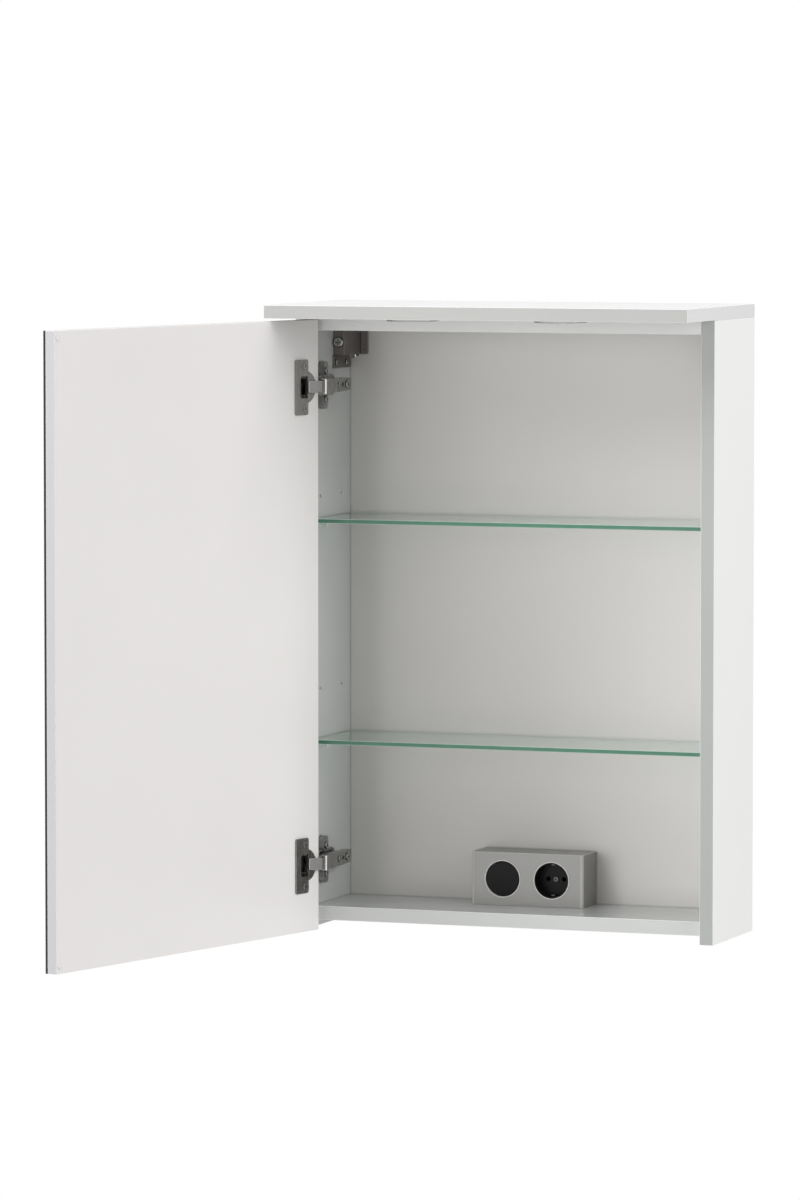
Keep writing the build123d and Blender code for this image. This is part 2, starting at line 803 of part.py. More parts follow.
def hook_slot(side):
    """Make the slot in the back panel that one hook passes through."""
    x, z = hook_line()
    half = hook_nut_width / 2
    low = wall_lip_bottom
    high = z + hook_depth / 2 + hook_slot_play
    slot = block(x - half, x + half, back_front_y, back_rear_y, low, high)
    return slot if side < 0 else mirrored(slot)


def hanger_case():
    """Make the left hanger's case with its rear ear, side tab and tongue."""
    x0, x1, y0, y1, z0, z1 = hanger_box()
    wall = hanger_wall
    x, z = hook_line()
    case = block(x0, x1, y0, y1, z0, z1)
    case -= block(x0 + wall, x1 - wall, y0 + wall, y1, z0 + wall, z1 - wall)
    case += block(x1, x1 + hanger_ear, y1 - wall, y1, z0, z1)
    case += block(x0, x0 + wall, before_back(tab_start), before_back(tab_end), z0 - tab_height, z0)
    tongue_y0, tongue_y1 = [before_back(row) for row in tongue_rows]
    case += block(x1 - wall, x1, tongue_y0, tongue_y1, z0 - tongue_drop, z0)
    case -= rod(hanger_adjuster[2] + bore_fit, (x, y0, z), (x, y0 + wall, z))
    for place in hanger_screw_places():
        case -= screw_bore(hanger_screw, place, (1, 0, 0))
    return case


def hanger_hook():
    """Make the left hook: a bar on edge with a nut block in front and a tooth behind the wall lip."""
    x, z = hook_line()
    half = hook_thickness / 2
    low = z - hook_depth / 2
    tooth_front = -wall_plate_thickness - wall_lip_space + lip_play
    tooth_rear = tooth_front + wall_plate_thickness
    hook = block(x - half, x + half, before_back(hook_start), tooth_rear, low, z + hook_depth / 2)
    hook += block(x - half, x + half, tooth_front, tooth_rear, low - hook_tooth_drop, low)
    nut_half = hook_nut_width / 2 - lip_play
    nut_start = before_back(hook_start)
    hook += block(
        x - nut_half, x + nut_half, nut_start, nut_start + hook_nut_length, z - nut_half, z + nut_half
    )
    return hook - screw_bore(hanger_adjuster, (x, before_back(hanger_length), z), (0, -1, 0))


def wall_plate():
    """Make the left wall plate: a flat strip on the wall whose upper edge stands off as a lip."""
    x0 = -inner_x + wall_plate_from_side
    x1 = x0 + wall_plate_width
    lip_front = -2 * wall_plate_thickness - wall_lip_space
    shelf_z = wall_lip_bottom + wall_plate_thickness
    plate = block(x0, x1, -wall_plate_thickness, 0, shelf_z - wall_plate_height, shelf_z)
    plate += block(x0, x1, lip_front, 0, wall_lip_bottom, shelf_z)
    plate += block(x0, x1, lip_front, lip_front + wall_plate_thickness, wall_lip_bottom, wall_lip_top)
    for side in (-1, 1):
        z = wall_holes_height + side * wall_hole_pitch / 2
        plate -= rod(wall_hole_radius, (-wall_hole_x, -wall_plate_thickness, z), (-wall_hole_x, 0, z))
    return plate


def make_hangers():
    """Write the hangers on both sides, their hooks, screws and wall plates."""
    x, z = hook_line()
    adjuster = screw(hanger_adjuster, (x, before_back(hanger_length), z), (0, -1, 0))
    screws = [screw(hanger_screw, place, (1, 0, 0)) for place in hanger_screw_places()]
    for name, piece in (("case", hanger_case()), ("hook", hanger_hook())):
        save(f"hanger_{name}_left", piece)
        save(f"hanger_{name}_right", mirrored(piece))
    save("hanger_adjusters", adjuster, mirrored(adjuster))
    save("hanger_screws", *screws, *[mirrored(piece) for piece in screws])
    plate = wall_plate()
    save("wall_plate_left", plate)
    save("wall_plate_right", mirrored(plate))


def make_lights():
    """Write the recessed lights: bodies, lenses, boards of diodes, spring clips and leads."""
    light_y = behind_front(-cornice_overhang) + light_from_front
    ring_bottom = side_height - light_ring_drop
    body_top = side_height + light_body_height
    bodies = []
    lenses = []
    boards = []
    clips = []
    leads = []
    for side in (-1, 1):
        x = side * light_x
        lens_top = ring_bottom + light_lens_thickness
        inner_radius = light_body_radius - light_wall
        body = rod(light_ring_radius, (x, light_y, ring_bottom), (x, light_y, side_height))
        body = fillet(body.edges().sort_by(Axis.Z)[0], light_ring_drop * 0.5)
        body += rod(light_body_radius, (x, light_y, side_height), (x, light_y, body_top))
        body -= rod(inner_radius - light_wall, (x, light_y, lens_top), (x, light_y, body_top - light_wall))
        body -= rod(inner_radius, (x, light_y, ring_bottom), (x, light_y, lens_top))
        bodies.append(body)
        lens_radius = inner_radius - bore_fit
        lenses.append(rod(lens_radius, (x, light_y, ring_bottom), (x, light_y, lens_top)))
        board_z = body_top - light_wall - led_board_thickness
        board_radius = inner_radius - light_wall - bore_fit
        boards.append(rod(board_radius, (x, light_y, board_z), (x, light_y, board_z + led_board_thickness)))
        clips += [light_clip(x, light_y, end) for end in (-1, 1)]
        leads.append(light_lead(side, light_y + light_body_radius))
    save("light_bodies", *bodies)
    save("light_lenses", *lenses)
    save("led_boards", *boards)
    save("light_clips", *clips)
    save("light_leads", *leads)


def light_clip(x, y, end):
    """Make one leaf spring between a light's body and the wall of its pocket."""
    near = light_body_radius + bore_fit
    far = light_pocket_radius - light_clip_thickness - light_clip_play
    low = side_height + 1
    high = side_height + light_body_height - 2
    outline = Polyline(
        (near, high), (near + light_clip_thickness, high), (far + light_clip_thickness, low),
        (far, low), close=True,
    )
    face = Plane(origin=(x, y, 0), x_dir=(end, 0, 0), z_dir=(0, -end, 0)) * make_face(outline)
    return extrude(face, amount=light_clip_width / 2, both=True)


def lead_along(route, radius):
    """Sweep a round lead along a route."""
    section = Plane(origin=route @ 0, z_dir=route % 0) * Circle(radius)
    return sweep(section, path=route)


def light_lead(side, light_end):
    """Make the lead from the driver up the cavity, over the top panel and along the cornice bore."""
    x0 = side * driver_outlet_x
    x1 = side * light_x
    y = -lead_from_wall
    bore_z = side_height + lead_bore_rise
    rise = (bore_z - driver_top) / 4
    route = FilletPolyline(
        (x0, y, driver_top), (x0, y, driver_top + rise), (x1, y, bore_z - 1.6 * rise),
        (x1, y, bore_z), (x1, light_end, bore_z), radius=lead_bend,
    )
    return lead_along(route, lead_radius)


def make_driver():
    """Write the driver for the lights and the mains lead that feeds it from the box."""
    y1 = back_rear_y + driver_thickness
    driver = block(-driver_half_width, driver_half_width, back_rear_y, y1, driver_bottom, driver_top)
    driver = fillet(driver.edges().filter_by(Axis.Z), 1)
    edge = driver_half_width + driver_tab
    tab_y = back_rear_y + driver_tab_thickness
    driver += block(-edge, edge, back_rear_y, tab_y, driver_bottom, driver_top)
    for place in driver_screw_places():
        driver -= screw_bore(base_screw, place, (0, 1, 0))
    save("led_driver", driver)


def make_mains_lead():
    """Write the lead from the box's terminals through the back panel up to the driver, and its clips."""
    length, depth, height = terminal_size
    x0 = length / 2
    y0 = box_back_y - box_base_thickness - depth / 2
    z = bottom_top + lead_rise
    rear = -mains_lead_from_wall
    route = FilletPolyline(
        (x0, y0, z), (mains_lead_x, y0, z), (mains_lead_x, rear, z), (mains_lead_x, rear, driver_bottom),
        radius=mains_bend,
    )
    clips = []
    for level in clip_heights:
        half = clip_width / 2
        outer = rear + mains_lead_radius + lead_radius / 2
        clip = block(
            mains_lead_x - half, mains_lead_x + half, back_rear_y, outer, level - half, level + half
        )
        low = (mains_lead_x, rear, level - half)
        clips.append(clip - rod(mains_lead_radius + clip_fit, low, (mains_lead_x, rear, level + half)))
    save("mains_lead", lead_along(route, mains_lead_radius))
    save("lead_clips", *clips)


def driver_screw_places():
    """Give the seats of the driver's two screws."""
    x = driver_half_width + driver_tab / 2
    return [
        (side * x, back_rear_y + driver_tab_thickness, driver_bottom + driver_height / 2) for side in (-1, 1)
    ]


def grommet_places():
    """Give X, height and bore of the mains inlet's and the mains lead's grommets in the back panel."""
    return [
        (inlet_x, bottom_top + inlet_rise, inlet_bore_radius),
        (mains_lead_x, bottom_top + lead_rise, lead_hole_radius),
    ]


def box_base_screw_places():
    """Give the seats of the four screws that hold the box's base to the back panel."""
    x = box_width / 2 - base_screw_inset
    low = bottom_top + base_screw_inset
    high = bottom_top + box_height - base_screw_inset
    return [(side * x, box_back_y - driver_tab_thickness, z) for side in (-1, 1) for z in (low, high)]


def insert_places():
    """Give the middles of the switch and of the socket in the box's front."""
    x = box_width / 2 - insert_from_side
    return (-x, insert_height), (x, insert_height)


def make_box():
    """Write the box on the cabinet's floor: shell, base, grommets, terminals and screws."""
    half = box_width / 2
    top = bottom_top + box_height
    shell = block(-half, half, box_front_y, box_back_y, bottom_top, top)
    front_edges = shell.edges().filter_by(Axis.Z).sort_by(Axis.Y)[:2]
    shell = fillet(front_edges, box_corner)
    shell = fillet(shell.faces().sort_by(Axis.Y)[0].edges(), edge_round)
    shell -= block(
        -half + box_wall, half - box_wall, box_front_y + box_wall, box_back_y,
        bottom_top + box_wall, top - box_wall,
    )
    for x, z in insert_places():
        shell -= rod(insert_hole_radius, (x, box_front_y, z), (x, box_front_y + box_wall, z))
    save("box_shell", shell)

    inset = box_wall + box_base_fit
    base = block(
        -half + inset, half - inset, box_back_y - box_base_thickness, box_back_y,
        bottom_top + inset, top - inset,
    )
    grommets = []
    for x, z, bore in grommet_places():
        base -= rod(grommet_radius + bore_fit, (x, box_back_y - box_base_thickness, z), (x, box_back_y, z))
        start = (x, box_back_y, z)
        grommet = rod(grommet_radius, start, (x, back_rear_y + grommet_flange, z))
        grommet += rod(grommet_flange_radius, (x, back_rear_y, z), (x, back_rear_y + grommet_flange, z))
        grommets.append(grommet - rod(bore, start, (x, back_rear_y + grommet_flange, z)))
    for place in box_base_screw_places():
        base -= screw_bore(base_screw, place, (0, -1, 0))
        base -= rod(
            base_screw[0] + bore_fit, (place[0], box_back_y - box_base_thickness, place[2]), place
        )
    save("box_base", base)
    save("grommets", *grommets)
    box_screws = [screw(base_screw, place, (0, -1, 0)) for place in box_base_screw_places()]
    driver_screws = [screw(base_screw, place, (0, 1, 0)) for place in driver_screw_places()]
    save("base_screws", *box_screws, *driver_screws)

    length, depth, height = terminal_size
    rear = box_back_y - box_base_thickness
    low = bottom_top + lead_rise - height / 2
    terminals = block(-length / 2, length / 2, rear - depth, rear, low, low + height)
    for index in range(3):
        x = (index - 1) * length / 3
        front = rear - depth
        terminals -= rod(centre_screw[2], (x, front, low + height / 2), (x, front + depth / 2, low + height / 2))
    save("terminal_block", terminals)


def trim_ring(x, z):
    """Make the thin light ring round one insert."""
    outer = insert_hole_radius - insert_fit
    start = (x, box_front_y - trim_proud, z)
    return tube(outer, outer - trim_width, start, (x, box_front_y - trim_proud + trim_depth, z))


def make_switch():
    """Write the switch: its frame with two pillars, the rocker on its pins and the contact block."""
    x, z = insert_places()[0]
    start = box_front_y - trim_proud + trim_depth
    outer = insert_hole_radius - insert_fit
    plate_front = start + switch_tube_depth
    plate_rear = plate_front + switch_plate
    pivot_y = box_front_y - rocker_proud + rocker_pivot_depth
    frame = tube(outer, outer - trim_width, (x, start, z), (x, plate_front, z))
    frame += tube(outer, switch_plate_hole, (x, plate_front, z), (x, plate_rear, z))
    ear_end = rocker_ear_x
    pin_end = ear_end + rocker_pin_length
    pillar_start = ear_end + link_side_gap
    for side in (-1, 1):
        pillar = block(
            x + side * pillar_start, x + side * (pillar_start + switch_pillar),
            pivot_y - rocker_pin_radius - 0.6, plate_front,
            z - switch_pillar, z + switch_pillar,
        )
        frame += pillar
        bore_end = x + side * (pin_end + 0.2)
        frame -= rod(rocker_pin_radius + pivot_fit, (x, pivot_y, z), (bore_end, pivot_y, z))
    save("switch_frame", frame)

    face_y = box_front_y - rocker_proud
    disc = rod(rocker_radius, (x, face_y, z), (x, face_y + rocker_thickness, z))
    rocker = fillet(disc.edges().sort_by(Axis.Y)[0], edge_round)
    stem_half = rocker_stem / 2
    rocker += block(
        x - stem_half, x + stem_half, face_y + rocker_thickness, plate_front - 0.6, z - 2.5, z + 2.5
    )
    for side in (-1, 1):
        rocker += block(
            x + side * (ear_end - rocker_ear), x + side * ear_end,
            face_y + rocker_thickness, pivot_y + rocker_pin_radius, z - 2.5, z + 2.5,
        )
        rocker += rod(rocker_pin_radius, (x + side * ear_end, pivot_y, z), (x + side * pin_end, pivot_y, z))
    tilted = Pos(x, pivot_y, z) * Rot(rocker_tilt, 0, 0) * Pos(-x, -pivot_y, -z) * rocker
    save("switch_rocker", tilted)

    width, depth, height = switch_block
    contacts = block(x - width / 2, x + width / 2, plate_rear, plate_rear + depth, z - height / 2, z + height / 2)
    save("switch_contacts", rounded(contacts, Axis.Y, 1.5))
    save("trim_rings", *[trim_ring(*place) for place in insert_places()])


def make_socket():
    """Write the socket: its round insert, the contact sleeves, the earth clip and the centre screw."""
    x, z = insert_places()[1]
    face_y = box_front_y - socket_rim_proud
    floor_y = face_y + socket_recess_depth
    rear_y = floor_y + socket_floor
    outer = socket_recess_radius + socket_wall
    insert = rod(outer, (x, face_y, z), (x, rear_y, z))
    insert -= rod(socket_recess_radius, (x, face_y, z), (x, floor_y, z))
    flange_y = box_front_y - trim_proud + trim_depth
    insert += tube(insert_hole_radius - insert_fit, outer, (x, flange_y, z), (x, flange_y + switch_plate, z))
    sleeves = []
    for side in (-1, 1):
        hole_x = x + side * contact_pitch / 2
        insert -= rod(contact_hole_radius, (hole_x, floor_y, z), (hole_x, rear_y, z))
        end = (hole_x, rear_y + contact_length, z)
        sleeves.append(tube(contact_radius, contact_hole_radius, (hole_x, rear_y, z), end))
    prong_half = earth_width / 2
    clip_rear = rear_y + earth_thickness
    clip = block(x - prong_half, x + prong_half, rear_y, clip_rear, z - earth_height, z + earth_height)
    for side in (-1, 1):
        near = z + side * earth_height
        far = z + side * (earth_height + earth_thickness)
        clip += block(x - prong_half, x + prong_half, floor_y - earth_reach, clip_rear, near, far)
        insert -= block(
            x - prong_half - bore_fit, x + prong_half + bore_fit, floor_y, rear_y,
            near - side * bore_fit, far + side * bore_fit,
        )
    seat = (x, floor_y, z)
    insert -= screw_bore(centre_screw, seat, (0, -1, 0))
    clip -= screw_bore(centre_screw, seat, (0, -1, 0))
    save("socket_insert", insert)
    save("socket_contacts", *sleeves)
    save("earth_clip", clip)
    save("socket_screw", screw(centre_screw, seat, (0, -1, 0)))


def main():
    """Write every node of the cabinet."""
    make_carcass()
    make_cornice()
    make_fittings()
    make_shelves()
    make_hinges()
    make_door()
    make_hangers()
    make_lights()
    make_driver()
    make_mains_lead()
    make_box()
    make_switch()
    make_socket()


if __name__ == "__main__":
    main()
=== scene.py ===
"""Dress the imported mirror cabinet: its camera and stage, the finish of every node, and the finer shapes
that stand in for the plain solids. All lengths are in metres, from the centre of the four wall screws."""

import json
import math

import bmesh
import bpy
from mathutils import Matrix, Vector

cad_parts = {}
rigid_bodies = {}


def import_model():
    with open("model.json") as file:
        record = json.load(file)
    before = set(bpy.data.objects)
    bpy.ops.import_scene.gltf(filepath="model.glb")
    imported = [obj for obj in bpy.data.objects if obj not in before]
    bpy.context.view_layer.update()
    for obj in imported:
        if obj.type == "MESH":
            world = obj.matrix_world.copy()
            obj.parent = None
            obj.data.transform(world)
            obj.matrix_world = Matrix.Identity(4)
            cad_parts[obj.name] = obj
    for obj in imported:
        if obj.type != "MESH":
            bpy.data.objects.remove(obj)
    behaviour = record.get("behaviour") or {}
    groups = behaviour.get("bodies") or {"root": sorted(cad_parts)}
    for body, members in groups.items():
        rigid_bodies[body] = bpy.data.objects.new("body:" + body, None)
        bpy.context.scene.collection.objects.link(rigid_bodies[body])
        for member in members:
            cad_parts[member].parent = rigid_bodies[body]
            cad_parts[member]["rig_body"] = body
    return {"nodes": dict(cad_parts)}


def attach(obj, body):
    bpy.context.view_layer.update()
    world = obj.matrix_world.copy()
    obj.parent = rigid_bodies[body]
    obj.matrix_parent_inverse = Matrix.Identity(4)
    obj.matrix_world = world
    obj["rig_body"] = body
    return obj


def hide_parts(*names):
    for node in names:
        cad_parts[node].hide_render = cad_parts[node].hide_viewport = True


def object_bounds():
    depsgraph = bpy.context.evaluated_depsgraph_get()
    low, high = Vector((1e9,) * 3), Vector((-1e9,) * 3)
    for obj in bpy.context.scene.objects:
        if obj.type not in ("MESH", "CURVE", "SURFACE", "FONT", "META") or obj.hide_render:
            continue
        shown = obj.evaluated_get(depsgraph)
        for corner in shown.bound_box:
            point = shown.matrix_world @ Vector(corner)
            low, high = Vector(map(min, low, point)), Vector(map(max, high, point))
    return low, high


bl_info = {
    "name": "Mirror cabinet",
    "version": (1, 0, 0),
    "blender": (4, 5, 0),
    "location": "3D View > Sidebar > Cabinet",
    "description": "Finishes and fine shapes of a wall-hung mirror cabinet with a lit cornice",
    "category": "Object",
}

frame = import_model()
cad_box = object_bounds()
nodes = frame["nodes"]
MM = 0.001
OUTER_ANGLE = math.radians(50)  # an outer edge turns by more than this
SMOOTH_ANGLE = math.radians(24)  # shading runs on across an edge that turns by less than this
FLAT_ANGLE = math.radians(0.5)  # faces that differ by less than this are one face
FORWARD = -0.95  # a normal whose Y is less than this looks into the room
SQUARE = 0.98  # a normal with no part larger than this is on a rounded edge
LAMP_SIZE = 2.4
LAMP_AIM = Vector((0, -0.1, -0.28))
MIRROR_FACE = 0.02  # in square metres: a larger face of the mirror is silvered


def linear(code):
    """Turn an sRGB hex colour into Blender's linear red, green and blue."""
    parts = [int(code[i:i + 2], 16) / 255 for i in (1, 3, 5)]
    return [v / 12.92 if v <= 0.04045 else ((v + 0.055) / 1.055) ** 2.4 for v in parts]


def colour(name, description, code):
    """Describe a colour that a user may change."""
    return bpy.props.FloatVectorProperty(
        name=name, description=description, default=linear(code), subtype="COLOR", size=3, min=0, max=1
    )


def length(name, description, millimetres):
    """Describe a length that a user may change."""
    return bpy.props.FloatProperty(
        name=name, description=description, default=millimetres * MM, subtype="DISTANCE", unit="LENGTH",
        min=0, precision=5,
    )


class BoardSettings(bpy.types.PropertyGroup):
    """The foil-covered boards and the door's core."""

    foil: colour("Foil", "White foil on the faces of the boards", "#F0F1EF")
    # The side, cornice and bottom edgings and the inner and cornice foils are darkened as painted shade;
    # the arris tone is a painted highlight
    edging: colour("Edging", "Edging on the front of the sides", "#B6B9B6")
    foil_in_painted_shade: colour("Inner foil", "Foil of the left side and the bottom", "#C6C8C6")
    cornice_foil_in_painted_shade: colour("Cornice foil", "Foil on the cornice", "#D9DAD9")
    cornice_edging_in_painted_shade: colour("Cornice edging", "Edging on the front of the cornice", "#C1C1BF")
    arris: colour("Arris", "Rounded edges of the boards", "#F7F8F7")
    bottom_edging_in_painted_shade: colour("Bottom edging", "Edging on the front of the bottom panel", "#D8DAD8")
    door_foil: colour("Door foil", "White foil on the back of the door", "#F4F1F0")
    door_edging: colour("Door edging", "Edging on the free edge of the door", "#C9C9CB")
    back: colour("Back", "Lacquer on the thin back panel", "#E3E0DE")


class GlassSettings(bpy.types.PropertyGroup):
    """The mirror and the two shelves."""

    silver: colour("Silver", "Silver layer seen through the mirror's glass", "#DADEDD")
    tint: colour("Tint", "Green of float glass seen along a shelf's length", "#51836C")
    mirror_arris: length("Mirror arris", "Ground edge of the mirror", 0.8)
    shelf_arris: length("Shelf arris", "Polished edge of the shelves", 0.6)


class MetalSettings(bpy.types.PropertyGroup):
    """The hinges, hangers, screws and light rings."""

    nickel: colour("Nickel", "Nickel plating of the hinges", "#9C9B99")
    zinc: colour("Zinc", "Dark zinc plating of the hangers", "#7D7876")
    screw: colour("Screw", "Bright zinc plating of the screws", "#A9A9A7")
    ring: colour("Ring", "Satin chrome of the light rings", "#B9B9B7")
    edge_highlight: colour("Edge highlight", "Plating painted bright on the edges as a highlight", "#E3E3E1")
    press_edge: length("Pressed edge", "Rounding left on pressed steel edges", 0.4)


class BoxSettings(bpy.types.PropertyGroup):
    """The box with the switch and the socket."""

    shell: colour("Shell", "Metallic grey of the box", "#A9A8A6")
    shell_sides: colour("Shell sides", "The same paint where it looks away from the light", "#969593")
    shell_arris_highlight: colour("Shell arris", "Paint lightened on the rounded edges, a painted highlight", "#CFCDCB")
    trim: colour("Trim", "Pale grey of the trim rings", "#EFEDEB")
    dark: colour("Inserts", "Black of the rocker and the socket", "#0D0C0C")


class StageSettings(bpy.types.PropertyGroup):
    """The floor and the light."""

    floor: colour("Floor", "Pale floor", "#F2F2F0")
    floor_radius: length("Floor radius", "Radius of the round floor", 3200)
    floor_depth: length("Floor depth", "How far the floor lies below the cabinet", 1200)
    fill: bpy.props.FloatProperty(
        name="Fill", description="Strength of the light from all round", default=0.3, min=0
    )


SETTINGS = {
    "cabinet_boards": BoardSettings,
    "cabinet_glass": GlassSettings,
    "cabinet_metal": MetalSettings,
    "cabinet_box": BoxSettings,
    "cabinet_stage": StageSettings,
}


def add_node(tree, kind, inputs=None, ramp=None, **settings):
    """Add a shader node, set it, and feed its inputs with values or with other nodes' outputs.

    ramp holds the colours at the two ends of a colour ramp.
    """
    node = tree.nodes.new(kind)
    for name, value in settings.items():
        setattr(node, name, value)
    for name, value in (inputs or {}).items():
        if isinstance(value, bpy.types.NodeSocket):
            tree.links.new(value, node.inputs[name])
        else:
            node.inputs[name].default_value = value
    if ramp:
        for stop, shade in zip(node.color_ramp.elements, ramp):
            stop.color = (*shade, 1)
    return node


def shaded(tone, share):
    """Darken or lighten a linear colour by a share."""
    return [min(1, c * share) for c in tone]


def new_material(name):
    """Start a material with an empty node tree."""
    material = bpy.data.materials.new(name)
    material.use_nodes = True
    material.node_tree.nodes.clear()
    return material, material.node_tree


def make_surface(
    name, tone, drift=0.04, patch=120, gloss=(0.3, 0.36), grain=0.8, relief=0.004, stretch=(1, 1, 1),
    front_tone=None, arris_highlight=None, crevice=0, painted_shade_share=0.06, clear=None, **fixed
):
    """Make a material whose tone and gloss drift in patches, over a fine grain.

    patch and grain are sizes in millimetres and relief is the grain's height in millimetres. front_tone is
    the tone of the faces that look forward, such as the band on a board's front edge; on the carcass and
    the box it paints how much less or more light those faces get than the rest. The arris tone is a lighter
    tone on rounded edges, a painted highlight. crevice is how many millimetres painted shade reaches out of
    inner corners, and the share after it how much of the tone that painted shade leaves. clear is the tone
    of light that goes straight through a pane. fixed holds values that are the same all over, set on the
    shader's own sockets.
    """
    material, tree = new_material(name)
    place = add_node(tree, "ShaderNodeTexCoord").outputs["Object"]
    place = add_node(tree, "ShaderNodeMapping", {"Vector": place, "Scale": stretch}).outputs["Vector"]
    cloud = add_node(tree, "ShaderNodeTexNoise", {"Vector": place, "Scale": 1000 / patch, "Detail": 4})
    tones = add_node(
        tree, "ShaderNodeValToRGB", {"Fac": cloud.outputs["Fac"]},
        [shaded(tone, 1 - drift), shaded(tone, 1 + drift)],
    )
    base = tones.outputs["Color"]
    facing = add_node(tree, "ShaderNodeTexCoord").outputs["Normal"]
    # Faces that look forward take their own tone, which on the carcass and the box paints the light they
    # get
    if front_tone:
        forward = add_node(tree, "ShaderNodeSeparateXYZ", {"Vector": facing}).outputs["Y"]
        faces_forward = add_node(tree, "ShaderNodeMath", {0: forward, 1: FORWARD}, operation="LESS_THAN").outputs[0]
        front_face_tones = add_node(
            tree, "ShaderNodeValToRGB", {"Fac": cloud.outputs["Fac"]},
            [shaded(front_tone, 1 - drift), shaded(front_tone, 1 + drift)],
        )
        base = add_node(
            tree, "ShaderNodeMix", {0: faces_forward, 6: base, 7: front_face_tones.outputs["Color"]}, data_type="RGBA"
        ).outputs[2]
    # Painted highlight: rounded edges, found by their turned normals, get a lighter tone
    if arris_highlight:
        size = add_node(tree, "ShaderNodeVectorMath", {0: facing}, operation="ABSOLUTE").outputs["Vector"]
        size = add_node(tree, "ShaderNodeSeparateXYZ", {"Vector": size})
        most = size.outputs["X"]
        for axis in "YZ":
            most = add_node(
                tree, "ShaderNodeMath", {0: most, 1: size.outputs[axis]}, operation="MAXIMUM"
            ).outputs[0]
        turned = add_node(tree, "ShaderNodeMath", {0: most, 1: SQUARE}, operation="LESS_THAN").outputs[0]
        base = add_node(
            tree, "ShaderNodeMix", {0: turned, 6: base, 7: (*arris_highlight, 1)}, data_type="RGBA"
        ).outputs[2]
    # Painted shade: inner corners and recesses darken by how closed in they are
    if crevice:
        hollow = add_node(tree, "ShaderNodeAmbientOcclusion", {"Distance": crevice * MM}, samples=12)
        open_share = add_node(
            tree, "ShaderNodeMapRange", {"Value": hollow.outputs["AO"], "From Min": 0.35, "From Max": 0.9}
        ).outputs["Result"]
        base = add_node(
            tree, "ShaderNodeMix", {0: open_share, 6: (*shaded(tone, painted_shade_share), 1), 7: base}, data_type="RGBA"
        ).outputs[2]
    grit = add_node(tree, "ShaderNodeTexNoise", {"Vector": place, "Scale": 1000 / grain, "Detail": 2})
    sheen = add_node(
        tree, "ShaderNodeMapRange",
        {
            "Value": cloud.outputs["Fac"], "From Min": 0.3, "From Max": 0.7,
            "To Min": gloss[0], "To Max": gloss[1],
        },
    )
    bump = add_node(
        tree, "ShaderNodeBump", {"Height": grit.outputs["Fac"], "Strength": 1, "Distance": relief * MM}
    )
    shader = add_node(
        tree, "ShaderNodeBsdfPrincipled",
        {
            "Base Color": base, "Roughness": sheen.outputs["Result"],
            "Normal": bump.outputs["Normal"], **fixed,
        },
    )
    surface = shader.outputs["BSDF"]
    if clear:
        # Light on its way to another surface passes a pane without bending, so no heavy shadow falls
        ray = add_node(tree, "ShaderNodeLightPath").outputs
        passing = add_node(
            tree, "ShaderNodeMath", {0: ray["Is Shadow Ray"], 1: ray["Is Diffuse Ray"]}, operation="MAXIMUM"
        ).outputs[0]
        through = add_node(tree, "ShaderNodeBsdfTransparent", {"Color": (*clear, 1)}).outputs["BSDF"]
        surface = add_node(
            tree, "ShaderNodeMixShader", {0: passing, 1: surface, 2: through}
        ).outputs["Shader"]
    add_node(tree, "ShaderNodeOutputMaterial", {"Surface": surface})
    return material


def dress(material, *names):
    """Give CAD nodes a material in place of their packed one."""
    for name in names:
        mesh = nodes[name].data
        mesh.materials.clear()
        mesh.materials.append(material)


def add_piece(name, mesh, body, slot, *materials):
    """Put a finished mesh into the scene as a piece that rides on a body."""
    piece = bpy.data.objects.new(name, mesh)
    bpy.context.scene.collection.objects.link(piece)
    for material in materials:
        mesh.materials.append(material)
    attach(piece, body)
    return piece


def bevel(form, edges, width, segments=2, slot=0):
    """Round edges by a width, and give the new faces the material in a slot."""
    new = bmesh.ops.bevel(
        form, geom=edges, offset=width, offset_type="OFFSET", segments=segments, profile=0.5,
        affect="EDGES", clamp_overlap=True, material=-1,
    )
    for face in new["faces"]:
        face.material_index = slot


def sharp_edges(form, shortest=0.0, longest=10.0):
    """Find the outer edges of a solid within a range of lengths."""
    return [
        e for e in form.edges
        if len(e.link_faces) == 2 and e.calc_face_angle_signed() > OUTER_ANGLE
        and shortest <= e.calc_length() <= longest
    ]


def finish_piece(form, name, body, slot, materials, pick=None):
    """Turn a form into a smooth-shaded piece, its flat faces kept flat.

    pick chooses a material for a face, when there is more than one.
    """
    bmesh.ops.triangulate(form, faces=form.faces)
    for face in form.faces:
        face.smooth = True
        if pick:
            face.material_index = pick(face)
    for edge in form.edges:
        edge.smooth = len(edge.link_faces) == 2 and edge.calc_face_angle(0) < SMOOTH_ANGLE
    mesh = bpy.data.meshes.new(name)
    form.to_mesh(mesh)
    form.free()
    piece = add_piece(name, mesh, body, slot, *materials)
    flat = piece.modifiers.new("flat faces", "WEIGHTED_NORMAL")
    flat.keep_sharp = True
    return piece


def rounded(node, name, slot, width, materials, shortest=0.0, pick=None, segments=2, corner=None):
    """Stand in for a CAD node with the same solid, its sharp outer edges rounded as the real piece's are.

    corner gives a plate's thickness and the radius of its corners, in millimetres. Without pick, the last
    material goes on the rounded edges.
    """
    form = bmesh.new()
    form.from_mesh(nodes[node].data)
    bmesh.ops.remove_doubles(form, verts=form.verts, dist=2e-6)
    bmesh.ops.dissolve_degenerate(form, edges=form.edges, dist=1e-6)
    bmesh.ops.dissolve_limit(form, angle_limit=FLAT_ANGLE, verts=form.verts, edges=form.edges)
    if corner:
        thickness, radius = corner
        bevel(form, sharp_edges(form, 0.97 * thickness * MM, 1.03 * thickness * MM), radius * MM, 5)
    bevel(form, sharp_edges(form, shortest), width, segments, 0 if pick else len(materials) - 1)
    piece = finish_piece(form, name, nodes[node]["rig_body"], slot, materials, pick)
    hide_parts(node)
    return piece


